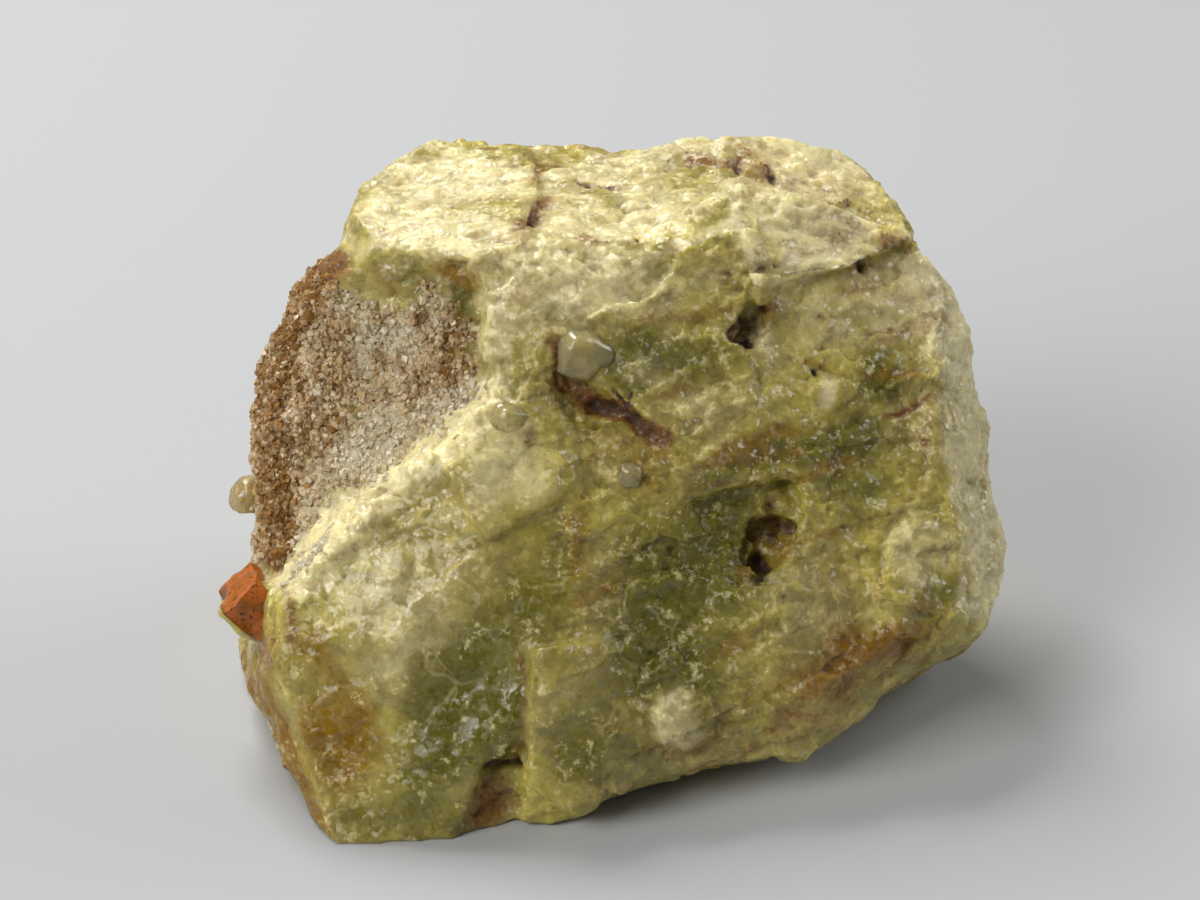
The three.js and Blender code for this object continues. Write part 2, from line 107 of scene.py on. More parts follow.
# Zones of the front, mostly the stone's own colours, with a few spots that paint shade or a highlight, as
# noted at them. A spot is x, u, half width, half height, turn in degrees and strength.
SPOTS = {
    "cream": [
        # The cream spot at x -8.2, u 11.2 is a painted highlight, in the cream colour, on the end of a
        # block.
        (1.6, 18.0, 10, 1.8, 8, 0.85), (-8.2, 11.2, 1.1, 3.6, 0, 0.75), (-12.0, 17.2, 4.6, 2.2, 0, 0.8),
        (-14.5, 21.0, 4.0, 2.4, 20, 0.7), (17.6, 21.6, 5.0, 1.8, -30, 0.8),
        (16.8, 4.4, 0.6, 1.4, -20, 0.9), (-16.0, 1.0, 5.0, 1.9, 40, 0.95),
        (-11.4, 4.2, 2.0, 1.2, 40, 0.8), (-21.0, -3.0, 2.2, 1.4, 50, 0.6),
        (-16.4, 14.8, 3.2, 1.2, 0, 0.25), (-16.0, 8.6, 3.6, 2.0, 10, 0.9),
        (-18.6, 1.0, 3.4, 2.2, 40, 0.9), (24.6, 13.4, 2.0, 1.6, -40, 0.9),
        (27.4, 8.4, 1.2, 3.0, 0, 0.7),
    ],
    "frost": [
        (-7.0, -1.2, 3.8, 4.2, 0, 0.8), (15.4, -11.6, 3.6, 4.0, 10, 0.42),
        (6.6, -20.8, 1.7, 1.7, 0, 1.0), (-1.6, -18.6, 3.0, 3.0, 0, 0.3),
        (-16.5, -10.6, 6.4, 3.6, -20, 0.6), (-15.5, -15.8, 3.6, 1.4, 20, 0.6),
        (0.8, 12.6, 8.0, 2.6, 8, 0.7), (15.0, 16.2, 4.4, 2.4, 10, 0.35), (25.0, -7.6, 2.6, 3.4, 0, 0.7),
        (8.0, 3.2, 3.4, 1.8, 0, 0.45), (17.0, 9.0, 3.6, 3.0, 0, 0.3), (24.4, 13.4, 2.0, 1.6, -40, 0.8),
        (-14.9, 10.0, 1.8, 1.4, 0, 0.8), (-14.2, 7.2, 3.0, 1.5, 0, 0.75),
        (-18.4, 11.8, 2.0, 1.6, 0, 0.6), (-8.0, 9.0, 1.8, 4.0, 0, 0.6),
    ],
    "olive": [
        (-10.2, -17.0, 3.6, 7.0, -30, 0.85), (-12.8, -22.4, 3.0, 6.0, -20, 0.75),
        (-4.4, -11.4, 2.4, 6.4, -10, 0.6), (-7.8, -21.4, 1.8, 3.6, -10, 0.9),
        (5.0, -12.6, 5.6, 5.0, 0, 0.85), (9.0, -7.0, 7.0, 4.6, 0, 0.75), (3.4, 7.0, 3.2, 2.6, 20, 0.8),
        (8.4, 7.2, 3.0, 2.2, 0, 0.7), (21.8, 6.4, 2.6, 2.6, 30, 0.85), (19.6, -0.6, 5.2, 3.6, 10, 0.8),
        (6.0, -17.4, 4.2, 2.0, 0, 0.8), (26.0, -11.4, 3.0, 1.6, 20, 0.7),
        (-10.8, 11.9, 1.5, 2.6, 0, 0.9), (-16.0, 14.0, 2.6, 1.4, 0, 0.6),
        (12.0, -1.2, 4.0, 1.4, 10, 0.7), (-1.2, 2.0, 2.4, 1.8, 0, 0.4),
        # The two olive spots below, along the bottom edge and on the bottom slab, are partly deeper green
        # and partly painted shade that darkens the low front.
        (-15.0, -28.6, 8.0, 2.2, 0, 0.6), (-0.6, -23.0, 4.4, 5.4, 0, 0.7),
        (15.2, -12.4, 3.4, 3.6, 0, 0.4), (9.0, -21.6, 6.0, 2.6, 12, 0.5),
    ],
    "ochre": [
        (-20.4, -22.2, 3.0, 4.2, 10, 0.95), (-22.0, -15.4, 1.8, 2.4, 0, 0.75),
        (-11.0, 13.6, 2.2, 1.2, 10, 0.95), (-10.8, 19.6, 2.6, 0.9, 10, 0.7),
        (-1.8, -7.2, 1.4, 4.2, 0, 0.6), (13.2, 0.8, 4.0, 1.0, 18, 0.75),
        (22.8, -15.0, 5.4, 1.4, 25, 0.8), (16.6, -17.2, 6.4, 2.2, 20, 0.6),
        (4.0, -1.4, 3.2, 1.8, 10, 0.6), (8.6, 15.2, 3.0, 1.2, 10, 0.4),
        (-5.0, -3.6, 1.6, 2.4, -20, 0.35), (0.6, 13.8, 2.0, 0.8, 20, 0.45),
        (5.0, 11.0, 5.0, 1.0, 8, 0.3),
    ],
    "dark": [
        (11.2, 9.0, 0.9, 1.3, 0, 0.8), (13.4, -5.8, 1.6, 1.6, 0, 0.6), (12.1, -8.6, 0.8, 0.8, 0, 0.9),
        (-0.5, 3.8, 0.9, 0.5, -20, 0.8), (1.9, 3.0, 0.6, 1.0, 0, 0.9), (2.8, 1.9, 1.0, 0.5, -30, 0.8),
    ],
    "rust": [
        (-20.4, 7.0, 2.2, 3.2, 0, 0.6), (-22.0, 1.4, 2.0, 2.6, 0, 0.6),
        # The rust spot at x -11.4, u 7.6 is painted shade on the right wall of the recess, in the rust
        # colour.
        (-14.6, 4.8, 4.0, 1.0, 20, 0.45), (-11.4, 7.6, 1.5, 2.6, 0, 0.9),
        # The rust spot at x -8.2, u -26.8 is partly brown stain and partly painted shade in the hollow at
        # the bottom of the front.
        (-17.6, 14.0, 1.4, 1.0, 0, 0.6), (-8.2, -26.8, 2.2, 3.2, -14, 1.0),
        (-26.0, -16.2, 1.8, 2.4, 0, 0.85), (-23.6, -13.6, 0.7, 2.4, 0, 0.8),
        (-5.4, 17.8, 1.3, 1.1, 30, 0.9), (-4.6, 20.6, 0.5, 1.2, 10, 0.7),
        (-0.6, 16.4, 1.8, 0.5, 10, 0.8), (2.8, 16.6, 0.6, 0.7, 0, 0.9), (9.6, 13.4, 2.4, 1.2, 0, 0.5),
        # The rust spots at x 20.0, u 14.3 and x 22.6, u 15.9 are partly stain and partly painted shade of
        # the fissure under the upper right ledge.
        (13.4, 10.8, 1.2, 0.9, 0, 0.85), (16.4, 6.0, 0.8, 0.6, 0, 0.85), (20.0, 14.3, 0.8, 1.0, 0, 0.9),
        (22.6, 15.9, 1.2, 0.7, 20, 0.85), (23.0, 11.8, 1.4, 0.8, 0, 0.45),
        (25.8, 10.8, 1.2, 0.8, 30, 0.75), (15.6, -21.4, 4.6, 1.2, 26, 0.7),
        (13.6, -5.8, 1.8, 2.4, 0, 0.6), (-3.4, 7.6, 0.8, 1.6, 20, 0.8), (9.0, 22.6, 2.0, 0.8, 0, 0.85),
        (12.9, 21.5, 1.6, 0.7, -10, 0.85), (-5.6, 1.0, 1.0, 0.8, 0, 0.8),
        (18.0, -9.6, 0.8, 3.4, 0, 0.35), (11.0, 22.6, 8.0, 1.6, -6, 0.35),
        (18.6, 19.0, 3.8, 2.4, -40, 0.5), (15.4, 16.4, 4.2, 2.4, 10, 0.35),
        (17.0, 9.4, 4.0, 3.0, 0, 0.3), (15.4, -11.6, 3.4, 3.6, 0, 0.3),
        (19.0, -16.4, 6.6, 2.4, 24, 0.6), (6.0, -3.6, 5.0, 1.8, 10, 0.3), (0.4, 0.4, 2.4, 2.0, 0, 0.35),
        (1.0, -0.1, 0.5, 0.7, 0, 0.8), (-3.3, 2.9, 0.6, 0.4, 0, 0.8), (-2.2, 4.6, 1.2, 1.6, 40, 0.7),
    ],
}

# The rusty crack runs through these points
CRACK = [(-3.4, 8.2), (-2.6, 5.0), (-0.6, 3.7), (1.8, 3.0), (2.8, 1.8), (5.0, 0.7)]

# The white ledge under the recess, and the edge of the rim on the right
LEDGE = [(-9.2, 4.0), (-12.4, 0.6), (-16.3, -2.2), (-20.2, -5.6), (-23.4, -9.8)]
RIM_EDGE = [(26.2, 12.2), (25.6, 4.0), (25.0, -2.0), (23.6, -4.4), (21.8, -7.2), (21.2, -11.2)]

# The outermost rim on the right, and the rusty rind along the recess
RIM = [(26.4, 13.4), (28.0, 8.5), (28.4, 3.9), (28.8, -1.6), (30.0, -7.0), (29.6, -11.6)]
RIND = [
    (-20.6, 14.6), (-22.6, 11.8), (-24.4, 8.3), (-25.4, 4.4), (-25.4, 0.2), (-25.0, -3.9), (-25.2, -8.5),
]

# A stroke is a width, a strength and the points it runs through. A few strokes also paint shade, a
# highlight or a glow, as noted at them.
STROKES = {
    "cream": [
        # The ledge stroke is partly the ledge's own whitish colour and partly a painted highlight where it
        # faces up and to the left, towards the light.
        (3.0, 0.85, LEDGE),
        (0.6, 0.9, [(10.2, 20.2), (11.4, 16.0), (12.2, 13.2)]),
        (0.6, 0.6, [(13.0, 12.9), (19.4, 14.5), (23.6, 16.6)]),
        (0.5, 0.8, [(1.0, 13.4), (5.4, 15.6), (10.4, 17.4)]),
    ],
    # The frost along the right rim is partly its pale colour and partly a painted glow of light shining
    # through the thin edge.
    "frost": [(2.4, 1.0, RIM)],
    "ochre": [(1.7, 0.9, [(-26.2, -18.6), (-24.2, -24.0), (-21.9, -29.4)])],
    "rust": [
        (1.7, 0.95, RIND),
        (1.2, 1.0, CRACK),
        (0.3, 0.55, [(-2.2, 4.6), (-1.4, 1.0), (-1.6, -2.4)]),
        (0.3, 0.5, [(1.4, 2.8), (1.0, 0.2), (2.6, -1.2)]),
        (0.35, 0.7, [(-6.0, -16.0), (-6.1, -20.0), (-6.2, -24.2)]),
        (0.5, 0.85, [(22.2, 2.5), (23.6, 3.1), (25.2, 3.8)]),
        (0.5, 0.55, RIM_EDGE[1:]),
        (0.3, 0.75, [(-2.0, 20.5), (1.4, 20.3)]),
        (0.25, 0.6, [(-0.6, 22.6), (2.4, 22.3)]),
        (0.7, 0.6, [(9.0, 22.4), (11.2, 21.8), (14.7, 20.8), (17.4, 19.0)]),
        (0.4, 0.5, [(7.4, -2.9), (11.0, -2.6), (14.8, -2.0)]),
    ],
    "dark": [
        (0.5, 0.9, CRACK[2:5]),
        (0.25, 0.8, [(1.2, 4.6), (1.9, 3.4), (2.6, 4.6)]),
        (0.22, 0.7, [(-1.8, 20.5), (1.0, 20.3)]),
        (0.3, 0.4, [(22.6, 2.7), (24.6, 3.5)]),
        # This dark stroke is partly stain and partly painted shade in the hollow at the bottom of the
        # front.
        (0.4, 0.8, [(-9.0, -24.1), (-6.2, -23.8)]),
    ],
}

# Holes of the front: x, u, radius, depth in millimetres
HOLES = [
    (11.0, 8.8, 0.9, 0.7),
    (12.4, 10.8, 0.5, 0.5),
    (14.2, -6.0, 0.9, 0.7),
    (12.2, -8.4, 1.0, 0.9),
    (13.2, -4.4, 0.6, 0.4),
    # The next two holes lie in that fissure; the darkening painted into them is partly painted shade.
    (20.2, 14.2, 0.5, 0.7),
    (22.9, 15.7, 0.5, 0.5),
    (16.6, 6.0, 0.5, 0.4),
    (2.8, 16.6, 0.4, 0.6),
    (-5.2, 17.8, 0.7, 0.5),
    (10.6, 22.0, 0.8, 0.5),
    (13.4, 21.2, 0.7, 0.5),
]

# The recess on the left, and its rim, are grainy inside this outline
GRAINY = [
    (-21.6, 13.8), (-19.5, 12.4), (-17.0, 12.2), (-14.5, 12.2), (-12.2, 11.0), (-10.4, 8.6), (-9.8, 5.2),
    (-12.6, 1.6), (-16.6, -1.4), (-20.4, -4.4), (-24.0, -9.0), (-28.0, -11.4), (-28.0, 9.0), (-24.0, 13.8),
]

# Thin slabs left standing on the front: height and outline
SLABS = [
    (0.8, [(-11.7, -1.6), (-9.4, 3.4), (-6.2, 4.0), (-1.6, 0.8), (-1.8, -3.4), (-8.7, -7.0)]),
    (0.5, [(-5.3, -15.5), (0.0, -14.7), (3.1, -19.4), (4.6, -29.0), (-1.0, -28.4), (-5.6, -26.0)]),
    (0.4, [(4.3, -19.8), (7.8, -18.6), (8.9, -22.5), (7.0, -23.4), (4.5, -22.5)]),
    (0.3, [(16.0, 6.0), (17.6, 5.6), (17.4, 2.6), (16.4, 3.0)]),
]

# Faces that broke smooth, as spots, and the way of the fine grooves on the others
POLISHED = [(-14, -17, 10, 12, 0, 0.85), (-7, -2, 3.6, 4.2, 0, 0.8), (-2, -21, 3, 5, 0, 0.6)]
GROOVE = 0.95 * RIGHT + 0.31 * UP

# Crystals on the front: x, u, size across, up and deep, turns in degrees, how deep the middle is sunk
GLASSY_CRYSTALS = [
    (-1.4, 7.5, (4.0, 3.8, 3.6), (14, 20, 22), 1.5),
    (-7.0, 2.4, (2.7, 2.5, 2.4), (30, 18, 40), 0.7),
    (2.1, -1.9, (2.0, 2.7, 2.0), (4, 6, 14), 1.0),
]
RUSTY_CRYSTAL = (-27.0, -11.9, (3.7, 4.6, 3.8), (30, -40, 14), 2.0)
RUSTY_WEAR = 0.12
GLASSY_WEAR = 0.75
BEAD = (-27.3, -3.5, 1.32)
BEAD_TURNS = (20, 30, 10)
BEAD_WEAR = 0.9

# Colour of the cleanest grains, in scene linear values
WHITE = (0.95, 0.85, 0.6)

# Edges that are worn soft, as strokes
WORN = [
    (2.8, 1.0, CRACK),
    (3.2, 1.0, LEDGE),
    (2.4, 1.0, RIM_EDGE),
    (2.2, 0.9, [(-5.3, -15.5), (0.0, -14.7), (3.1, -19.4), (4.6, -29.0)]),
    (1.5, 0.7, [(-5.3, -15.5), (-5.5, -22.0), (-5.6, -29.0)]),
    (1.6, 0.9, [(-6.2, 4.0), (-1.6, 0.8), (-1.8, -3.4)]),
]

# Ragged hollows of the front, as spots
RAGGED = [
    (12.0, -6.4, 4.6, 4.4, 0, 1.0),
    (11.8, 9.6, 2.2, 2.6, 0, 1.0),
    (-13.4, 15.4, 5.0, 1.2, -10, 0.8),
]

# Rounds of smoothing, and the depths along the sight between which the front ends
POLISH_ROUNDS = 12
RAGGED_ROUNDS = 50
WORN_ROUNDS = 110
MOST_WORN_ROUNDS = 120
FRONT_ENDS = (-18, -14)

# Refraction of datolite
IOR = 1.63

# Where the lights stand and how wide they are, in metres
LIGHTS = {
    "key": ((-0.16, 0.24, 0.42), 0.2),
    "fill": ((-0.42, -0.3, 0.42), 0.35),
    "rim": ((0.5, 0.16, 0.26), 0.3),
}
LIT_POINT = Vector((0, 0, 0.02))
SKY_COLOUR = (1.0, 0.98, 0.95, 1)
FLOOR_HALF = 1.5
SENSOR_WIDTH = 36


def srgb(red, green, blue):
    """A colour given as 0 to 255 screen values, in scene linear values."""
    shares = (value / 255 for value in (red, green, blue))
    return tuple(s / 12.92 if s <= 0.04045 else ((s + 0.055) / 1.055) ** 2.4 for s in shares)


def colour(name, description, red, green, blue):
    """A colour property whose default is given in screen values."""
    default = srgb(red, green, blue)
    return FloatVectorProperty(
        name=name, description=description, default=default, subtype="COLOR", size=3, min=0, max=1
    )


def length(name, description, millimetres):
    """A length property whose default is given in millimetres."""
    return FloatProperty(
        name=name, description=description, default=millimetres * MM, unit="LENGTH", precision=5, min=0
    )


def power(name, description, watts):
    """A light's power property."""
    return FloatProperty(name=name, description=description, default=watts, unit="POWER", min=0)


class DatoliteShape(bpy.types.PropertyGroup):
    """Sizes of the lump's surface and of what grew on it."""

    voxel: length("Surface step", "Spacing of the lump's surface points", 0.26)
    triangles: IntProperty(
        name="Triangles", description="Most triangles of the lump", default=194000, min=1000
    )
    chip: length("Chips", "Size of the small breaks all over the lump", 3.4)
    chip_rise: length("Chip rise", "How far a small break tilts out of its face", 0.42)
    grit_rise: length("Grit rise", "How far the grainy recess is roughened", 0.32)
    grain_smallest: length("Smallest grain", "Size of the smallest grains of the recess", 0.24)
    grain_largest: length("Largest grain", "Size of the largest grains of the recess", 0.62)
    grain_density: FloatProperty(
        name="Grain density", description="Grains on a square metre of grainy face", default=1.38e7, min=0
    )
    seed: IntProperty(name="Seed", description="Seed of everything scattered", default=7)


# Besides their own colours, cream also paints highlights, frost a glow on the right rim, and olive, rust
# and dark rust some shade.
class DatoliteColours(bpy.types.PropertyGroup):
    """Colours of the stone."""

    pale: colour("Pale green", "Milky green of the broken faces", 194, 179, 86)
    grey: colour("Grey green", "Greyer green between", 182, 165, 94)
    olive: colour("Olive", "Deep green of the clearer faces", 110, 103, 16)
    ochre: colour("Ochre", "Yellow stain", 150, 112, 0)
    frost: colour("Frost", "Bruised, whitish green", 218, 205, 150)
    cream: colour("Cream", "Weathered white of the top", 240, 226, 172)
    tan: colour("Tan", "Lightly stained grains", 250, 220, 164)
    sand: colour("Sand", "Rusty grains", 176, 124, 46)
    rust: colour("Rust", "Brown iron stain", 134, 86, 26)
    dark: colour("Dark rust", "Dirt in cracks and pits", 70, 42, 16)
    orange: colour("Orange", "Rusty crystal", 186, 98, 24)
    clear: colour("Clear", "Glassy crystals", 226, 218, 160)


class DatoliteStage(bpy.types.PropertyGroup):
    """The floor, the lights and the camera."""

    floor: colour("Floor", "Plain pale floor", 188, 189, 190)
    key: power("Key", "Power of the light above and behind", 1.9)
    fill: power("Fill", "Power of the light in front", 2.65)
    rim: power("Rim", "Power of the light on the right", 1.2)
    sky: FloatProperty(name="Sky", description="Strength of the even light from all round", default=0.1)
    lens: length("Lens", "Focal length of the camera", 90)


def smoothstep(low, high, value):
    """0 below low, 1 above high, and smooth between."""
    share = np.clip((value - low) / (high - low), 0, 1)
    return share * share * (3 - 2 * share)


def scatter(cells, seed):
    """A random number from 0 to 1 for each whole-numbered cell, always the same for the same seed."""
    with np.errstate(over="ignore"):
        whole = cells.astype(np.int64).astype(np.uint32)
        mixed = whole[..., 0] * np.uint32(0x8DA6B343)
        mixed ^= whole[..., 1] * np.uint32(0xD8163841)
        mixed ^= whole[..., 2] * np.uint32(0xCB1AB31F)
        mixed ^= np.uint32((seed * 0x9E3779B9) & 0xFFFFFFFF)
        for shift, factor in ((16, 0x7FEB352D), (15, 0x846CA68B)):
            mixed ^= mixed >> np.uint32(shift)
            mixed *= np.uint32(factor)
        mixed ^= mixed >> np.uint32(16)
    return mixed / 4294967296.0


def scatter_vector(cells, seed):
    """Three random numbers from -1 to 1 for each cell."""
    return np.stack([2 * scatter(cells, 3 * seed + k) - 1 for k in range(3)], -1)


def waves(points, size, seed):
    """Smooth noise from about -1 to 1 with waves of that size."""
    place = points / size + 31.7
    corner = np.floor(place)
    inside = place - corner
    ease = inside**3 * (inside * (6 * inside - 15) + 10)
    total = np.zeros(len(points))
    for step in np.ndindex(2, 2, 2):
        step = np.array(step)
        slope = scatter_vector(corner + step, seed)
        weight = np.prod(np.where(step == 1, ease, 1 - ease), axis=1)
        total += weight * np.sum(slope * (inside - step), axis=1)
    return 1.6 * total


def ripples(points, size, octaves, seed):
    """Noise with finer and finer waves."""
    return sum(waves(points, size / 2**k, seed + k) * 0.55**k for k in range(octaves))


def cells(points, size, seed):
    """The nearest of scattered cell middles: its distance, the way to it and its cell."""
    place = points / size
    home = np.floor(place)
    nearest = np.full(len(points), 9.0)
    way = np.zeros_like(points)
    found = np.zeros_like(points)
    for step in np.ndindex(3, 3, 3):
        cell = home + np.array(step) - 1
        to_middle = cell + 0.5 + 0.42 * scatter_vector(cell, seed) - place
        distance = np.linalg.norm(to_middle, axis=1)
        closer = distance < nearest
        nearest = np.where(closer, distance, nearest)
        way[closer] = to_middle[closer]
        found[closer] = cell[closer]
    return nearest, way, found


def facets(points, size, seed):
    """Small flat breaks, each tilted its own way, from about -1 to 1."""
    _, way, found = cells(points, size, seed)
    tilted = np.sum(way * scatter_vector(found, seed + 50), axis=1)
    return tilted + 0.35 * (2 * scatter(found, seed + 90) - 1)


def to_sight(points):
    """x, u and t of points in millimetres."""
    offset = points - SIGHT_POINT
    depth = offset @ TOWARD
    spread = EYE / (EYE - depth)
    return offset @ RIGHT * spread, offset @ UP * spread, depth


def eye_point():
    """The eye, in millimetres."""
    return SIGHT_POINT + EYE * TOWARD


def spot_mask(x, u, spots):
    """How strongly the soft-edged spots cover each point of the sight plane."""
    bare = np.ones(len(x))
    for middle_x, middle_u, wide, high, turn, strength in spots:
        angle = math.radians(turn)
        across = (x - middle_x) * math.cos(angle) + (u - middle_u) * math.sin(angle)
        along = (u - middle_u) * math.cos(angle) - (x - middle_x) * math.sin(angle)
        bare *= 1 - strength * np.exp(-0.8 * ((across / wide) ** 2 + (along / high) ** 2) ** 1.4)
    return 1 - bare


def line_distance(x, u, points):
    """The distance of each point of the sight plane to a line through the points."""
    best = np.full(len(x), 1e9)
    for (ax, au), (bx, bu) in zip(points, points[1:]):
        dx, du = bx - ax, bu - au
        share = np.clip(((x - ax) * dx + (u - au) * du) / (dx * dx + du * du), 0, 1)
        best = np.minimum(best, np.hypot(x - ax - share * dx, u - au - share * du))
    return best


def stroke_mask(x, u, strokes):
    """How strongly the strokes cover each point of the sight plane."""
    cover = np.zeros(len(x))
    for width, strength, points in strokes:
        reach = line_distance(x, u, points) / width
        cover = np.maximum(cover, strength * (1 - smoothstep(0.35, 1.15, reach)))
    return cover


def outline_mask(x, u, outline, soft):
    """1 inside an outline on the sight plane and 0 outside it, with a soft edge."""
    inside = np.zeros(len(x), bool)
    for (ax, au), (bx, bu) in zip(outline, outline[1:] + outline[:1]):
        crosses = (au > u) != (bu > u)
        with np.errstate(divide="ignore", invalid="ignore"):
            inside ^= crosses & (x < (bx - ax) * (u - au) / (bu - au) + ax)
    edge = line_distance(x, u, outline + outline[:1])
    return smoothstep(-soft, soft, np.where(inside, edge, -edge))


def read(mesh, items, field, width):
    """A field of a mesh's items as an array."""
    values = np.zeros(len(items) * width, np.float32 if field != "vertices" else np.int32)
    items.foreach_get(field, values)
    return values.reshape(-1, width)


def link(name, mesh):
    """A new object in the scene."""
    piece = bpy.data.objects.new(name, mesh)
    bpy.context.scene.collection.objects.link(piece)
    return piece


def plain_mesh(piece):
    """The piece's evaluated mesh, on its own."""
    depsgraph = bpy.context.evaluated_depsgraph_get()
    return bpy.data.meshes.new_from_object(piece.evaluated_get(depsgraph), depsgraph=depsgraph)


def settle(piece):
    """Makes a finished piece part of the stone."""
    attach(piece, BODY)
    return piece


def surface_tree(points, mesh):
    """A tree of a mesh's faces, for sight lines, over points in millimetres."""
    corners = [Vector(point) for point in points]
    return BVHTree.FromPolygons(corners, [polygon.vertices[:] for polygon in mesh.polygons])


class Lump:
    """The lump's fine surface: its points, normals and masks, in millimetres."""

    def __init__(self, shape):
        self.shape = shape
        self.mesh = self.remesh(shape.voxel)
        self.edges = read(self.mesh, self.mesh.edges, "vertices", 2)
        self.points = read(self.mesh, self.mesh.vertices, "co", 3).astype(float) / MM
        self.masks = {}

    @staticmethod
    def remesh(voxel):
        """The CAD solid's surface as a fine, even mesh."""
        merged = bmesh.new()
        merged.from_mesh(frame["nodes"][NODE].data)
        bmesh.ops.remove_doubles(merged, verts=merged.verts, dist=1e-6)
        mesh = bpy.data.meshes.new("lump_draft")
        merged.to_mesh(mesh)
        merged.free()
        draft = link("lump_draft", mesh)
        even = draft.modifiers.new("even", "REMESH")
        even.mode = "VOXEL"
        even.voxel_size = voxel
        fine = plain_mesh(draft)
        bpy.data.objects.remove(draft)
        bpy.data.meshes.remove(mesh)
        fine.name = "datolite_lump"
        return fine

    def neighbour_mean(self, values):
        """The mean over each point's neighbours."""
        first, second = self.edges.T
        count = len(self.points)
        number = np.bincount(first, minlength=count) + np.bincount(second, minlength=count)
        columns = [
            np.bincount(first, values[second, k], count) + np.bincount(second, values[first, k], count)
            for k in range(values.shape[1])
        ]
        return np.stack(columns, 1) / np.maximum(number, 1)[:, None]

    def relax(self, rounds, share):
        """Smooths the points; share may differ from point to point."""
        for _ in range(rounds):
            self.points += np.reshape(share, (-1, 1)) * (self.neighbour_mean(self.points) - self.points)

    def measure(self):
        """Normals, places on the sight plane and how far each point faces the eye."""
        self.mesh.vertices.foreach_set("co", (self.points * MM).astype(np.float32).ravel())
        self.mesh.update()
        self.normals = read(self.mesh, self.mesh.vertex_normals, "vector", 3).astype(float)
        self.x, self.u, self.t = to_sight(self.points)
        to_eye = eye_point() - self.points
        to_eye /= np.linalg.norm(to_eye, axis=1)[:, None]
        self.front = smoothstep(-0.3, 0.1, np.sum(self.normals * to_eye, axis=1))

    def cover(self, name, mask):
        """Adds to a zone's mask."""
        self.masks[name] = np.maximum(self.masks[name], mask)

    def raise_by(self, height):
        """Moves the points along their normals, except at the flat base."""
        keep = smoothstep(0.2, 1.6, self.points[:, 2])
        self.points += self.normals * (height * keep)[:, None]
        self.points[:, 2] = np.maximum(self.points[:, 2], 0)

    def paint(self):
        """The zones' masks: those seen in front are drawn, and the rest follow rules."""
        seed = self.shape.seed
        points, normals, front = self.points, self.normals, self.front
        wander = [ripples(points, 5, 4, seed + 10 + 5 * k) for k in range(2)]
        x, u = self.x + 1.5 * wander[0], self.u + 1.5 * wander[1]
        x_fine, u_fine = self.x + 0.5 * wander[0], self.u + 0.5 * wander[1]
        broad = ripples(points, 15, 3, seed + 30)
        patchy = ripples(points, 9, 3, seed + 40)
        unseen = 1 - front
        hidden = {
            "cream": 0.4 * smoothstep(0.2, 1.0, broad),
            "frost": 0.65 * smoothstep(-0.3, 0.8, patchy),
            "olive": 0.7 * smoothstep(-0.1, 0.9, -patchy),
            "ochre": 0.5 * smoothstep(0.1, 0.9, ripples(points, 10, 3, seed + 70)),
            "rust": 0.6 * smoothstep(0.3, 1.0, ripples(points, 8, 4, seed + 80)),
            "dark": 0.3 * smoothstep(0.6, 0.9, ripples(points, 4, 4, seed + 90)),
        }
        for name, rule in hidden.items():
            drawn = spot_mask(x, u, SPOTS.get(name, []))
            drawn = np.maximum(drawn, stroke_mask(x_fine, u_fine, STROKES.get(name, [])))
            self.masks[name] = front * drawn + unseen * rule
        level = smoothstep(0.4, 0.8, normals[:, 2]) * smoothstep(28, 33, points[:, 2])
        self.cover("cream", 0.9 * level * smoothstep(-0.7, 0.35, patchy))
        rind = smoothstep(-18, -24, self.x) * smoothstep(0.3, -0.1, broad) * unseen
        rust_rind = 0.7 * rind * smoothstep(-0.5, 0.5, patchy)
        self.cover("rust", rust_rind)
        recess = outline_mask(x, u, GRAINY, 1.2) * front
        grain = np.maximum(recess, 0.4 * rind) * smoothstep(0.8, 2.0, points[:, 2])
        for middle, reach in self.crystal_places():
            grain = grain * smoothstep(reach, reach + 0.6, np.linalg.norm(points - middle, axis=1))
        self.masks["grain"] = grain
        blotch = smoothstep(0.05, 0.55, ripples(points, 2.8, 3, seed + 290)) * recess
        blotch = blotch * (1 - 0.7 * self.masks["cream"])
        self.cover("rust", 0.75 * blotch)

    def crystal_places(self):
        """The middle and reach of the crystals that no grain covers, in millimetres."""
        tree = surface_tree(self.points, self.mesh)
        for x, u, reach in ((*BEAD[:2], BEAD[2]), (*RUSTY_CRYSTAL[:2], 3.0)):
            yield sight_hit(tree, x, u) - reach * TOWARD, reach + 0.2

    def hollow_tint(self):
        """Rust gathers in the hollows of the surface."""
        inward = np.sum((self.neighbour_mean(self.points) - self.points) * self.normals, axis=1)
        for _ in range(3):
            inward = self.neighbour_mean(inward[:, None])[:, 0]
        gathered = smoothstep(0.012, 0.05, inward) * (1 - 0.8 * self.masks["grain"])
        self.masks["rust"] = np.clip(self.masks["rust"] + 0.45 * gathered, 0, 1)

    def chipped_edges(self):
        """How far the ridges are chipped away, in millimetres."""
        seed, smooth = self.shape.seed, self.points
        for _ in range(10):
            smooth = self.neighbour_mean(smooth)
        ridge = smoothstep(0.06, 0.3, np.sum((self.points - smooth) * self.normals, axis=1))
        shaken = self.points + 0.3 * waves(self.points, 1.5, seed + 240)[:, None]
        nearest, _, found = cells(shaken, 1.7, seed + 250)
        bite = smoothstep(0.3, 0.9, scatter(found, seed + 260)) * (1 - smoothstep(0.3, 0.75, nearest))
        return ridge * (0.1 + 0.7 * bite)

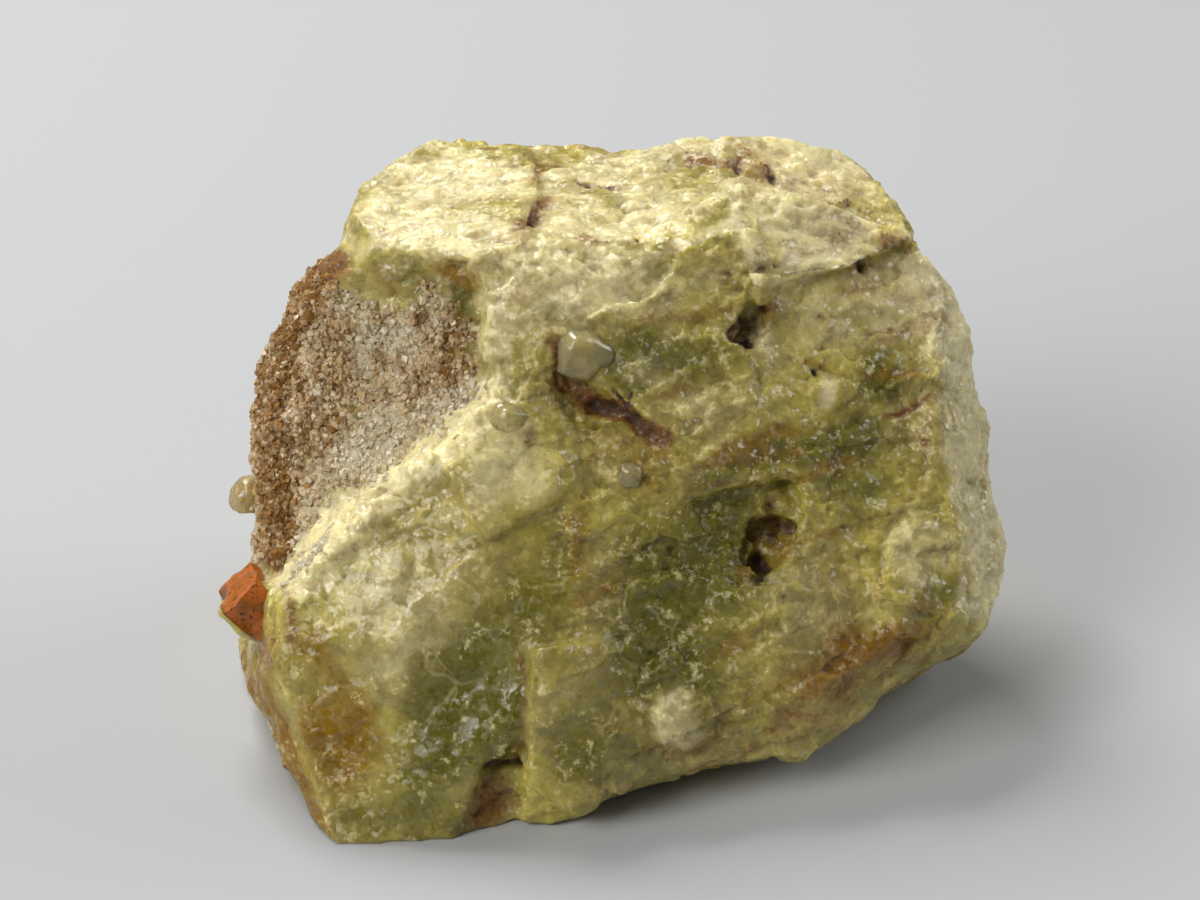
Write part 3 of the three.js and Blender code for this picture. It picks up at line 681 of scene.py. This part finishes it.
    def rough_faces(self):
        """Small breaks, waves, grit and cracks of the surface, in millimetres."""
        shape, seed = self.shape, self.shape.seed
        points, grain = self.points, self.masks["grain"]
        polished = spot_mask(self.x, self.u, POLISHED) * self.front
        self.masks["polished"] = polished
        rough = 1 - polished
        chip, rise = shape.chip / MM, shape.chip_rise / MM
        along_grooves = np.eye(3) - 0.5 * np.outer(GROOVE, GROOVE)
        grooved = points @ along_grooves
        warped = grooved + 0.5 * np.stack([ripples(points, 3, 2, seed + 100 + 4 * k) for k in range(3)], 1)
        height = rise * (0.35 + 0.65 * rough) * facets(warped, chip, seed + 110)
        height += 0.4 * rise * rough * facets(warped, 0.42 * chip, seed + 120)
        height += (0.08 + 0.1 * rough) * waves(points, 5.0, seed + 130)
        height += (0.01 + 0.05 * rough) * ripples(grooved, 1.5, 2, seed + 140)
        steps = ripples(grooved, 6, 3, seed + 180) * 3.0
        height += 0.14 * rough * (np.floor(steps) + smoothstep(0.75, 1.0, steps - np.floor(steps)) - steps)
        height += (1 - self.front) * 0.55 * facets(warped, 2.2 * chip, seed + 300)
        height += (1 - self.front) * 0.3 * facets(warped, chip, seed + 310)
        ragged = spot_mask(self.x, self.u, RAGGED) * self.front
        height += 0.5 * ragged * ripples(points, 2.2, 3, seed + 190)
        streaks = ripples(grooved @ along_grooves, 2.6, 4, seed + 270)
        veil = rough * self.front * (1 - 0.8 * grain) * smoothstep(0.1, 0.7, streaks)
        self.cover("rust", 0.5 * veil)
        self.cover("ochre", 0.5 * veil)
        grit, _, _ = cells(points, 1.1, seed + 150)
        height += grain * shape.grit_rise / MM * (0.7 - 1.4 * grit)
        height += grain * 0.5 * ripples(points, 3.4, 3, seed + 170)
        return height + self.front * self.drawn_relief()

    def drawn_relief(self):
        """Ledges, streaks, cracks and holes that are seen in front, in millimetres."""
        x, u, seed = self.x, self.u, self.shape.seed
        shaky = ripples(self.points, 2.0, 3, seed + 200)
        relief = -0.45 * self.masks["dark"] * smoothstep(-0.6, 0.4, shaky)
        for middle_x, middle_u, size, _, _ in GLASSY_CRYSTALS:
            reach = np.hypot(x - middle_x, u - middle_u) / (0.5 * size[0])
            relief -= 0.3 * (1 - smoothstep(0.5, 1.2, reach))
        relief -= 0.15 * stroke_mask(x + 0.4 * shaky, u + 0.4 * shaky, STROKES["rust"][1:])
        band = 1 - smoothstep(1.0, 3.2, line_distance(x, u, LEDGE) + 0.8 * shaky)
        relief += band * (0.6 * facets(self.points, 2.2, seed + 280) + 0.35 * shaky)
        for _, _, ridge in STROKES["cream"][1:]:
            away = line_distance(x + 0.6 * shaky, u + 0.6 * shaky, ridge)
            relief += 0.22 * (1 - smoothstep(0.1, 1.6, away))
        for rise, outline in SLABS:
            left, right = min(corner[0] for corner in outline), max(corner[0] for corner in outline)
            slope = 1 - smoothstep(left, right, x)
            relief += rise * slope * outline_mask(x + 0.3 * shaky, u + 0.3 * shaky, outline, 0.2)
        top = smoothstep(0.5, 0.8, self.normals[:, 2]) * smoothstep(29, 33, self.points[:, 2])
        streaks = ripples(self.points * np.array([0.35, 1.0, 1.0]), 2.0, 3, seed + 220)
        relief -= top * (0.3 * smoothstep(0.4, 0.8, streaks) - 0.14 * streaks)
        self.cover("rust", 0.5 * top * smoothstep(0.45, 0.85, streaks))
        flank = stroke_mask(x, u, [(2.6, 1.0, STROKES["ochre"][0][2])])
        across = (x + 24) * 0.9 + (u + 24) * 0.36
        relief += 0.09 * flank * np.sin(2 * math.pi * across / 0.75 + 2 * shaky)
        for hole_x, hole_u, radius, depth in HOLES:
            reach = np.hypot(x - hole_x + 0.6 * shaky * radius, u - hole_u - 0.4 * shaky * radius) / radius
            hole = 1 - smoothstep(0.2, 1.2, reach)
            relief -= depth * hole
            self.cover("dark", 0.7 * self.front * smoothstep(0.4, 0.95, hole))
        return relief

    def finish(self):
        """The mesh with its points and masks, thinned out where it is flat."""
        self.measure()
        for name, mask in self.masks.items():
            attribute = self.mesh.attributes.new(name, "FLOAT", "POINT")
            attribute.data.foreach_set("value", np.clip(mask, 0, 1).astype(np.float32))
        full = link("lump_full", self.mesh)
        thin = full.modifiers.new("thin", "DECIMATE")
        triangles = sum(len(face.vertices) - 2 for face in self.mesh.polygons)
        thin.ratio = min(1.0, self.shape.triangles / triangles)
        mesh = plain_mesh(full)
        bpy.data.objects.remove(full)
        bpy.data.meshes.remove(self.mesh)
        mesh.name = "datolite_lump"
        mesh.polygons.foreach_set("use_smooth", np.ones(len(mesh.polygons), bool))
        mesh.update()
        return mesh


class Nodes:
    """A node tree, with short ways to add nodes."""

    def __init__(self, tree):
        self.tree = tree

    def feed(self, node, inputs):
        """Links or sets a node's inputs, given by name or number."""
        for key, value in inputs.items():
            if isinstance(value, bpy.types.NodeSocket):
                self.tree.links.new(value, node.inputs[key])
            else:
                node.inputs[key].default_value = value

    def node(self, kind, inputs=None, **own):
        """A new node with its own settings and its inputs."""
        made = self.tree.nodes.new(kind)
        for name, value in own.items():
            setattr(made, name, value)
        self.feed(made, inputs or {})
        return made

    def coordinates(self):
        """The piece's own coordinates, in metres."""
        return self.node("ShaderNodeTexCoord").outputs["Object"]

    def attribute(self, name):
        """A mask of the mesh."""
        return self.node("ShaderNodeAttribute", attribute_name=name).outputs["Fac"]

    def noise(self, where, size, detail, roughness=0.55, output="Fac"):
        """Noise with waves of a size in millimetres."""
        inputs = {"Vector": where, "Scale": 1 / (size * MM), "Detail": detail, "Roughness": roughness}
        return self.node("ShaderNodeTexNoise", inputs).outputs[output]

    def cells(self, where, size, feature="F1"):
        """Scattered cells of a size in millimetres."""
        inputs = {"Vector": where, "Scale": 1 / (size * MM)}
        return self.node("ShaderNodeTexVoronoi", inputs, feature=feature).outputs

    def tilted_cells(self, where, size):
        """Flat facets of a size in millimetres, each with its own tilt: height in metres, and a shade."""
        found = self.cells(where, size)
        away = self.vector("SUBTRACT", where, found["Position"])
        lean = self.vector("SUBTRACT", found["Color"], (0.5,) * 3)
        height = self.vector("DOT_PRODUCT", away, lean, "Value")
        return height, self.node("ShaderNodeSeparateColor", {0: found["Color"]}).outputs[0]

    def swayed(self, where, size, reach):
        """Coordinates that wander, with waves of a size and a reach in millimetres."""
        wander = self.vector("SUBTRACT", self.noise(where, size, 1.0, 0.5, "Color"), (0.5,) * 3)
        scaled = self.node("ShaderNodeVectorMath", {0: wander, "Scale": reach * MM}, operation="SCALE")
        return self.vector("ADD", where, scaled.outputs[0])

    def vector(self, operation, first, second, output="Vector"):
        """Two vectors put together."""
        return self.node("ShaderNodeVectorMath", {0: first, 1: second}, operation=operation).outputs[output]

    def math(self, operation, first, second):
        """Two values put together."""
        return self.node("ShaderNodeMath", {0: first, 1: second}, operation=operation).outputs[0]

    def times(self, first, second):
        """The product of two values."""
        return self.math("MULTIPLY", first, second)

    def plus(self, first, second):
        """The sum of two values."""
        return self.math("ADD", first, second)

    def remap(self, value, low, high, to_low=0.0, to_high=1.0):
        """A value stretched from one range to another."""
        inputs = {"Value": value, "From Min": low, "From Max": high, "To Min": to_low, "To Max": to_high}
        return self.node("ShaderNodeMapRange", inputs, interpolation_type="SMOOTHSTEP").outputs[0]

    def blend(self, share, first, second, kind="MIX"):
        """Two colours mixed."""
        inputs = {0: share}
        for key, value in ((6, first), (7, second)):
            inputs[key] = value if isinstance(value, bpy.types.NodeSocket) else (*value, 1)
        return self.node("ShaderNodeMix", inputs, data_type="RGBA", blend_type=kind).outputs[2]

    def group(self, tree, mask, noise, amount, low, high):
        """A mask with its edge broken up by the ragged edge group."""
        inputs = {"Mask": mask, "Noise": noise, "Amount": amount, "Low": low, "High": high}
        return self.node("ShaderNodeGroup", inputs, node_tree=tree).outputs[0]


def new_material(name):
    """An empty material with its shader and output."""
    material = bpy.data.materials.new(name)
    material.use_nodes = True
    material.node_tree.nodes.clear()
    nodes = Nodes(material.node_tree)
    surface = nodes.node("ShaderNodeBsdfPrincipled")
    nodes.node("ShaderNodeOutputMaterial", {"Surface": surface.outputs[0]})
    return material, nodes, surface


def ragged_edge_group():
    """Breaks up the edge of a zone with noise: Mask, Noise, Amount, Low and High in, Mask out."""
    tree = bpy.data.node_groups.new("Ragged edge", "ShaderNodeTree")
    for name in ("Mask", "Noise", "Amount", "Low", "High"):
        tree.interface.new_socket(name, in_out="INPUT", socket_type="NodeSocketFloat")
    tree.interface.new_socket("Mask", in_out="OUTPUT", socket_type="NodeSocketFloat")
    nodes = Nodes(tree)
    given = nodes.node("NodeGroupInput").outputs
    shake = nodes.times(nodes.math("SUBTRACT", given["Noise"], 0.5), given["Amount"])
    masked = nodes.times(shake, nodes.remap(given["Mask"], 0.0, 0.25))
    edge = nodes.remap(nodes.plus(given["Mask"], masked), given["Low"], given["High"])
    nodes.node("NodeGroupOutput", {0: edge})
    return tree


def stone_material(colours, ragged):
    """Milky, waxy datolite with its stains."""
    _, nodes, surface = new_material("datolite_stone")
    where = nodes.coordinates()
    broad = nodes.noise(where, 9, 3)
    middling = nodes.noise(where, 2.4, 4, 0.65)
    fine = nodes.noise(where, 0.75, 4, 0.7)
    dust = nodes.noise(where, 0.3, 3, 0.6)
    tint = nodes.blend(nodes.remap(broad, 0.36, 0.64), colours.pale, colours.grey)
    for name, amount in (("olive", 0.7), ("ochre", 0.8), ("frost", 0.8), ("cream", 0.7)):
        share = nodes.group(ragged, nodes.attribute(name), middling, amount, 0.1, 0.95)
        tint = nodes.blend(share, tint, getattr(colours, name))
    bruise = nodes.remap(nodes.times(fine, middling), 0.3, 0.38, 0, 0.6)
    tint = nodes.blend(bruise, tint, colours.frost)
    fleck = nodes.times(nodes.remap(dust, 0.62, 0.7), nodes.remap(middling, 0.54, 0.62))
    tint = nodes.blend(nodes.times(fleck, 0.8), tint, colours.cream)
    edges = nodes.cells(nodes.swayed(where, 3, 2.5), 5.5, "DISTANCE_TO_EDGE")["Distance"]
    vein = nodes.times(nodes.remap(edges, 0.0, 0.03, 1, 0), nodes.remap(broad, 0.48, 0.62, 0, 0.3))
    tint = nodes.blend(vein, tint, colours.frost)
    rust = nodes.attribute("rust")
    halo = nodes.group(ragged, rust, middling, 1.0, 0.1, 1.3)
    tint = nodes.blend(halo, tint, colours.rust)
    stain = nodes.group(ragged, rust, fine, 2.6, 0.75, 1.15)
    tint = nodes.blend(stain, tint, colours.rust)
    grime = nodes.group(ragged, rust, dust, 3.0, 0.95, 1.3)
    dirt = nodes.group(ragged, nodes.attribute("dark"), fine, 1.6, 0.25, 0.9)
    dirty = nodes.math("MAXIMUM", nodes.times(grime, 0.75), dirt)
    tint = nodes.blend(dirty, tint, colours.dark)
    tint = nodes.blend(nodes.remap(dust, 0.69, 0.76, 0, 0.5), tint, colours.rust)
    broken = nodes.swayed(where, 1, 0.5)
    tilt, crystal = nodes.tilted_cells(broken, 1.1)
    small_tilt, glint = nodes.tilted_cells(broken, 0.42)
    shade = nodes.remap(crystal, 0, 1, 0.9, 1.08)
    shade = nodes.times(shade, nodes.remap(middling, 0.25, 0.75, 0.84, 1.12))
    shade = nodes.times(shade, nodes.remap(fine, 0.25, 0.75, 0.86, 1.12))
    shade = nodes.node("ShaderNodeCombineColor", {k: shade for k in range(3)}).outputs[0]
    tint = nodes.blend(1.0, tint, shade, "MULTIPLY")
    gloss = nodes.plus(nodes.remap(fine, 0.3, 0.7, 0.06, 0.24), nodes.remap(glint, 0.0, 1.0, 0.0, 0.26))
    rough = nodes.plus(gloss, nodes.times(nodes.math("MAXIMUM", stain, dirty), 0.4))
    tilts = nodes.plus(nodes.times(tilt, 0.5 / MM), nodes.times(small_tilt, 0.8 / MM))
    height = nodes.plus(tilts, nodes.times(fine, 0.16))
    strength = nodes.remap(nodes.attribute("polished"), 0.0, 1.0, 0.7, 0.25)
    bump = nodes.node("ShaderNodeBump", {"Strength": strength, "Distance": MM, "Height": height})
    look = {
        "Base Color": tint,
        "Roughness": rough,
        "Normal": bump.outputs[0],
        "IOR": IOR,
        "Specular IOR Level": 0.45,
        "Subsurface Weight": 0.7,
        "Subsurface Radius": (1.0, 0.9, 0.4),
        "Subsurface Scale": 1.3 * MM,
    }
    nodes.feed(surface, look)


def grain_material(colours, ragged):
    """Sugary grains, grey-white to rusty."""
    _, nodes, surface = new_material("datolite_grains")
    fine = nodes.noise(nodes.coordinates(), 0.75, 5, 0.7)
    shade = nodes.attribute("shade")
    tint = nodes.blend(shade, colours.tan, WHITE)
    for name, layer in (("olive", colours.pale), ("cream", WHITE)):
        tint = nodes.blend(nodes.group(ragged, nodes.attribute(name), shade, 0.8, 0.1, 0.9), tint, layer)
    rust = nodes.attribute("rust")
    tint = nodes.blend(nodes.group(ragged, rust, shade, 1.0, 0.15, 1.1), tint, colours.sand)
    tint = nodes.blend(nodes.group(ragged, rust, fine, 2.4, 1.1, 1.9), tint, colours.dark)
    look = {
        "Base Color": tint,
        "Roughness": nodes.remap(shade, 0, 1, 0.3, 0.8),
        "IOR": IOR,
        "Subsurface Weight": 0.4,
        "Subsurface Radius": (1.0, 0.9, 0.5),
        "Subsurface Scale": 0.6 * MM,
    }
    nodes.feed(surface, look)


def glass_material(colours):
    """Clear datolite, a little cloudy."""
    _, nodes, surface = new_material("datolite_clear")
    cloud = nodes.noise(nodes.coordinates(), 1.2, 3)
    tint = nodes.blend(nodes.remap(cloud, 0.45, 0.7), colours.clear, colours.frost)
    look = {
        "Base Color": nodes.blend(nodes.attribute("stain"), tint, colours.tan),
        "Roughness": nodes.remap(cloud, 0.3, 0.7, 0.12, 0.4),
        "IOR": IOR,
        "Transmission Weight": 0.7,
        "Subsurface Weight": 0.9,
        "Subsurface Radius": (1.0, 0.95, 0.7),
        "Subsurface Scale": 1.2 * MM,
    }
    nodes.feed(surface, look)


def rusty_material(colours):
    """The rusty crystal's skin."""
    _, nodes, surface = new_material("datolite_rusty")
    where = nodes.coordinates()
    patches = nodes.noise(where, 1.3, 4, 0.6)
    specks = nodes.noise(where, 0.35, 2)
    tint = nodes.blend(nodes.remap(patches, 0.3, 0.6), colours.rust, colours.orange)
    tint = nodes.blend(nodes.remap(specks, 0.54, 0.7), tint, colours.dark)
    # Painted shade: the faces marked as turned left and down are darkened towards dark rust.
    tint = nodes.blend(nodes.times(nodes.attribute("shaded"), 0.75), tint, colours.dark)
    bump = nodes.node("ShaderNodeBump", {"Strength": 0.4, "Distance": 0.08 * MM, "Height": specks})
    nodes.feed(surface, {"Base Color": tint, "Roughness": 0.42, "Normal": bump.outputs[0]})


def crystal_shapes(seed):
    """A hidden collection of small many-faced crystals, each about 1 across."""
    shapes = bpy.data.collections.new("grain_shapes")
    draws = np.random.default_rng(seed)
    for number, (wide, high) in enumerate(((1.0, 0.8), (0.8, 1.0), (1.0, 0.55), (0.7, 0.7))):
        form = bmesh.new()
        bmesh.ops.create_cube(form, size=1)
        for corner in form.verts:
            sides = zip(corner.co, (wide, 0.8, high))
            corner.co = Vector(place * side * (1 + 0.22 * draws.uniform(-1, 1)) for place, side in sides)
        form.verts.new((0.1 * draws.uniform(-1, 1), 0.1 * draws.uniform(-1, 1), 0.72 * high))
        bmesh.ops.convex_hull(form, input=form.verts)
        mesh = bpy.data.meshes.new(f"grain_shape_{number}")
        form.to_mesh(mesh)
        form.free()
        shapes.objects.link(bpy.data.objects.new(f"grain_shape_{number}", mesh))
    return shapes


def grain_tree():
    """Geometry nodes that strew crystals over the grainy faces."""
    tree = bpy.data.node_groups.new("Strewn grains", "GeometryNodeTree")
    sockets = {
        "Geometry": "Geometry",
        "Density": "Float",
        "Smallest": "Float",
        "Largest": "Float",
        "Seed": "Int",
        "Shapes": "Collection",
        "Material": "Material",
    }
    for name, kind in sockets.items():
        tree.interface.new_socket(name, in_out="INPUT", socket_type=f"NodeSocket{kind}")
    tree.interface.new_socket("Geometry", in_out="OUTPUT", socket_type="NodeSocketGeometry")
    nodes = Nodes(tree)
    given = nodes.node("NodeGroupInput").outputs
    grainy = nodes.node("GeometryNodeInputNamedAttribute", {"Name": "grain"}, data_type="FLOAT").outputs[0]
    density = nodes.times(nodes.math("POWER", grainy, 1.6), given["Density"])
    inputs = {"Mesh": given["Geometry"], "Density": density, "Seed": given["Seed"]}
    strew = nodes.node("GeometryNodeDistributePointsOnFaces", inputs)
    inputs = {"Collection": given["Shapes"], "Separate Children": True, "Reset Children": True}
    shapes = nodes.node("GeometryNodeCollectionInfo", inputs)
    turn = nodes.node("FunctionNodeRandomValue", {"Max": (2 * math.pi,) * 3}, data_type="FLOAT_VECTOR")
    skew = nodes.node("FunctionNodeRandomValue", {"Seed": 3}, data_type="FLOAT")
    spread = nodes.math("POWER", skew.outputs[1], 2.2)
    inputs = {"Value": spread, "To Min": given["Smallest"], "To Max": given["Largest"]}
    size = nodes.node("ShaderNodeMapRange", inputs)
    inputs = {
        "Points": strew.outputs["Points"],
        "Instance": shapes.outputs[0],
        "Pick Instance": True,
        "Rotation": turn.outputs["Value"],
        "Scale": size.outputs[0],
    }
    place = nodes.node("GeometryNodeInstanceOnPoints", inputs)
    shade = nodes.node("FunctionNodeRandomValue", {"Seed": 5}, data_type="FLOAT")
    inputs = {"Geometry": place.outputs[0], "Name": "shade", "Value": shade.outputs[1]}
    store = nodes.node("GeometryNodeStoreNamedAttribute", inputs, data_type="FLOAT", domain="INSTANCE")
    real = nodes.node("GeometryNodeRealizeInstances", {0: store.outputs[0]})
    inputs = {"Geometry": real.outputs[0], "Material": given["Material"]}
    nodes.node("NodeGroupOutput", {0: nodes.node("GeometryNodeSetMaterial", inputs).outputs[0]})
    return tree


def sight_hit(tree, x, u):
    """Where the line of sight through x and u meets the lump, in the tree's millimetres."""
    target = SIGHT_POINT + x * RIGHT + u * UP
    hit, _, _, _ = tree.ray_cast(Vector(eye_point()), Vector(target - eye_point()))
    if hit is None:
        raise RuntimeError(f"no stone at {x}, {u}")
    return np.array(hit)


def worn_block(middle, size, turns, wear, seed):
    """A crystal block with worn edges: points and faces, in millimetres, with turns in degrees."""
    form = bmesh.new()
    bmesh.ops.create_cube(form, size=1)
    bmesh.ops.subdivide_edges(form, edges=form.edges, cuts=11, use_grid_fill=True)
    flat = np.array([corner.co for corner in form.verts])
    faces = [[corner.index for corner in face.verts] for face in form.faces]
    form.free()
    ball = flat / np.linalg.norm(flat, axis=1)[:, None] * 0.6
    worn = flat + wear * (ball - flat)
    lumpy = np.stack([ripples(worn + 100.0 * seed, 0.7, 3, seed + k) for k in range(3)], 1)
    worn = (worn + 0.09 * lumpy) * np.array(size)
    turn_x, turn_y, turn_z = (math.radians(angle) for angle in turns)
    turn = Matrix.Rotation(turn_x - LOOK_DOWN, 3, "X") @ Matrix.Rotation(turn_y, 3, "Y")
    turn = np.array(turn @ Matrix.Rotation(turn_z, 3, "Z"))
    return worn @ turn.T + middle, faces


class DATOLITE_OT_lump(bpy.types.Operator):
    """Builds the lump with its broken, stained faces"""

    bl_idname = "datolite.lump"
    bl_label = "Lump"

    def execute(self, context):
        scene = context.scene
        lump = Lump(scene.datolite_shape)
        lump.relax(2, 0.5)
        lump.measure()
        lump.relax(POLISH_ROUNDS, 0.5 * spot_mask(lump.x, lump.u, POLISHED[:1]) * lump.front)
        near = smoothstep(*FRONT_ENDS, lump.t)
        lump.relax(RAGGED_ROUNDS, 0.5 * spot_mask(lump.x, lump.u, RAGGED) * near)
        lump.relax(WORN_ROUNDS, 0.5 * stroke_mask(lump.x, lump.u, WORN) * near)
        lump.relax(MOST_WORN_ROUNDS, 0.5 * stroke_mask(lump.x, lump.u, WORN[:2]) * near)
        lump.measure()
        lump.paint()
        lump.raise_by(lump.rough_faces() - lump.chipped_edges())
        lump.measure()
        lump.relax(1, 0.15)
        lump.hollow_tint()
        piece = link("datolite_lump", lump.finish())
        piece.data.materials.clear()
        piece.data.materials.append(bpy.data.materials["datolite_stone"])
        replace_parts(settle(piece), NODE)
        return {"FINISHED"}


class DATOLITE_OT_grains(bpy.types.Operator):
    """Strews the sugary grains over the recess and the rind"""

    bl_idname = "datolite.grains"
    bl_label = "Grains"

    def execute(self, context):
        shape = context.scene.datolite_shape
        base = link("grain_base", bpy.data.objects["datolite_lump"].data)
        strewn = base.modifiers.new("grains", "NODES")
        strewn.node_group = grain_tree()
        shapes = crystal_shapes(shape.seed)
        values = {
            "Density": shape.grain_density,
            "Smallest": shape.grain_smallest,
            "Largest": shape.grain_largest,
            "Seed": shape.seed,
            "Shapes": shapes,
            "Material": bpy.data.materials["datolite_grains"],
        }
        for item in strewn.node_group.interface.items_tree:
            if item.in_out == "INPUT" and item.name in values:
                strewn[item.identifier] = values[item.name]
        mesh = plain_mesh(base)
        bpy.data.objects.remove(base)
        for form in list(shapes.objects):
            bpy.data.objects.remove(form)
        bpy.data.collections.remove(shapes)
        if not mesh.polygons:
            raise RuntimeError("no grains were strewn")
        settle(link("sugary_grains", mesh))
        return {"FINISHED"}


class DATOLITE_OT_crystals(bpy.types.Operator):
    """Sets the glassy crystals, the bead and the rusty crystal on the lump"""

    bl_idname = "datolite.crystals"
    bl_label = "Crystals"

    def execute(self, context):
        mesh = bpy.data.objects["datolite_lump"].data
        tree = surface_tree(read(mesh, mesh.vertices, "co", 3) / MM, mesh)
        blocks = []
        for number, (x, u, size, turns, sunk) in enumerate(GLASSY_CRYSTALS):
            middle = sight_hit(tree, x, u) - sunk * TOWARD
            blocks.append((worn_block(middle, size, turns, GLASSY_WEAR, 3 + number), 0.1))
        x, u, radius = BEAD
        middle = sight_hit(tree, x, u) - radius * TOWARD
        bead = worn_block(middle, (2 * radius,) * 3, BEAD_TURNS, BEAD_WEAR, 9)
        self.add("glassy_crystals", [*blocks, (bead, 0.55)], "datolite_clear", 60)
        x, u, size, turns, sunk = RUSTY_CRYSTAL
        rusty = worn_block(sight_hit(tree, x, u) - sunk * TOWARD, size, turns, RUSTY_WEAR, 12)
        mesh = self.add("rusty_crystal", [(rusty, 0.0)], "datolite_rusty", 38)
        # Painted shade: the faces turned left and down are marked so that they are darkened in the
        # crystal's material.
        way = read(mesh, mesh.vertex_normals, "vector", 3) @ (-0.8 * RIGHT - 0.5 * UP + 0.3 * TOWARD)
        shaded = mesh.attributes.new("shaded", "FLOAT", "POINT")
        shaded.data.foreach_set("value", smoothstep(0.5, 0.75, way).astype(np.float32))
        return {"FINISHED"}

    @staticmethod
    def add(name, blocks, material, sharp):
        """Makes a settled piece of crystal blocks, each with its stain; edges over an angle are sharp."""
        points, faces, stains = [], [], []
        for (block_points, block_faces), stain in blocks:
            faces += [[corner + len(points) for corner in face] for face in block_faces]
            points += [tuple(point * MM) for point in block_points]
            stains += [stain] * len(block_points)
        mesh = bpy.data.meshes.new(name)
        mesh.from_pydata(points, [], faces)
        mesh.attributes.new("stain", "FLOAT", "POINT").data.foreach_set("value", stains)
        mesh.polygons.foreach_set("use_smooth", np.ones(len(mesh.polygons), bool))
        mesh.set_sharp_from_angle(angle=math.radians(sharp))
        mesh.materials.append(bpy.data.materials[material])
        settle(link(name, mesh))
        return mesh


class DATOLITE_OT_finishes(bpy.types.Operator):
    """Makes the stone's materials"""

    bl_idname = "datolite.finishes"
    bl_label = "Finishes"

    def execute(self, context):
        colours = context.scene.datolite_colours
        ragged = ragged_edge_group()
        stone_material(colours, ragged)
        grain_material(colours, ragged)
        glass_material(colours)
        rusty_material(colours)
        return {"FINISHED"}


class DATOLITE_OT_stage(bpy.types.Operator):
    """Sets the floor, the lights and the camera"""

    bl_idname = "datolite.stage"
    bl_label = "Stage"

    def execute(self, context):
        scene, settings = context.scene, context.scene.datolite_stage
        mesh = bpy.data.meshes.new("floor")
        corners = [(x * FLOOR_HALF, y * FLOOR_HALF, 0) for x, y in ((-1, -1), (1, -1), (1, 1), (-1, 1))]
        mesh.from_pydata(corners, [], [(0, 1, 2, 3)])
        floor = link("floor", mesh)
        material, nodes, surface = new_material("floor")
        nodes.feed(surface, {"Base Color": (*settings.floor, 1), "Roughness": 0.85})
        mesh.materials.append(material)
        floor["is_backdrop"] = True
        for name, (place, size) in LIGHTS.items():
            self.light(name, place, size, getattr(settings, name))
        world = bpy.data.worlds.new("sky")
        scene.world = world
        world.use_nodes = True
        glow = world.node_tree.nodes["Background"]
        Nodes(world.node_tree).feed(glow, {"Color": SKY_COLOUR, "Strength": settings.sky})
        scene.view_settings.view_transform = "Standard"
        lens = bpy.data.cameras.new("camera")
        lens.lens = settings.lens / MM
        lens.sensor_width = SENSOR_WIDTH
        lens.clip_start = 0.01
        camera = bpy.data.objects.new("camera", lens)
        scene.collection.objects.link(camera)
        camera.location = Vector(eye_point() * MM)
        camera.rotation_euler = (math.pi / 2 - LOOK_DOWN, 0, 0)
        scene.camera = camera
        return {"FINISHED"}

    @staticmethod
    def light(name, place, size, power):
        """A soft square light that shines on the stone."""
        lamp = bpy.data.lights.new(name, "AREA")
        lamp.size = size
        lamp.energy = power
        light = bpy.data.objects.new(name, lamp)
        bpy.context.scene.collection.objects.link(light)
        light.location = place
        light.rotation_euler = (LIT_POINT - Vector(place)).to_track_quat("-Z", "Y").to_euler()


STEPS = (
    DATOLITE_OT_finishes,
    DATOLITE_OT_lump,
    DATOLITE_OT_grains,
    DATOLITE_OT_crystals,
    DATOLITE_OT_stage,
)


class DATOLITE_PT_panel(bpy.types.Panel):
    """Lists the steps and the settings"""

    bl_idname = "DATOLITE_PT_panel"
    bl_label = "Raw datolite"
    bl_space_type = "VIEW_3D"
    bl_region_type = "UI"
    bl_category = "Datolite"

    def draw(self, context):
        for step in STEPS:
            self.layout.operator(step.bl_idname)
        for scene_name, _ in GROUPS:
            group = getattr(context.scene, scene_name)
            box = self.layout.box()
            for name in group.__annotations__:
                box.prop(group, name)


GROUPS = (
    ("datolite_shape", DatoliteShape),
    ("datolite_colours", DatoliteColours),
    ("datolite_stage", DatoliteStage),
)
CLASSES = (*(group for _, group in GROUPS), *STEPS, DATOLITE_PT_panel)


def register():
    """Adds the classes and the scene's settings."""
    for item in CLASSES:
        bpy.utils.register_class(item)
    for name, group in GROUPS:
        setattr(bpy.types.Scene, name, PointerProperty(type=group))


def unregister():
    """Takes them away again."""
    for name, _ in GROUPS:
        delattr(bpy.types.Scene, name)
    for item in reversed(CLASSES):
        bpy.utils.unregister_class(item)


def main():
    """Builds the stone on its stage and measures its bounds beside the CAD solid's."""
    register()
    bpy.ops.datolite.finishes()
    bpy.ops.datolite.lump()
    bpy.ops.datolite.grains()
    bpy.ops.datolite.crystals()
    bpy.ops.datolite.stage()
    boxes = {"cad": CAD_BOX, "visual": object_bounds()}
    {name: [list(corner) for corner in box] for name, box in boxes.items()}


if __name__ == "__main__":
    main()
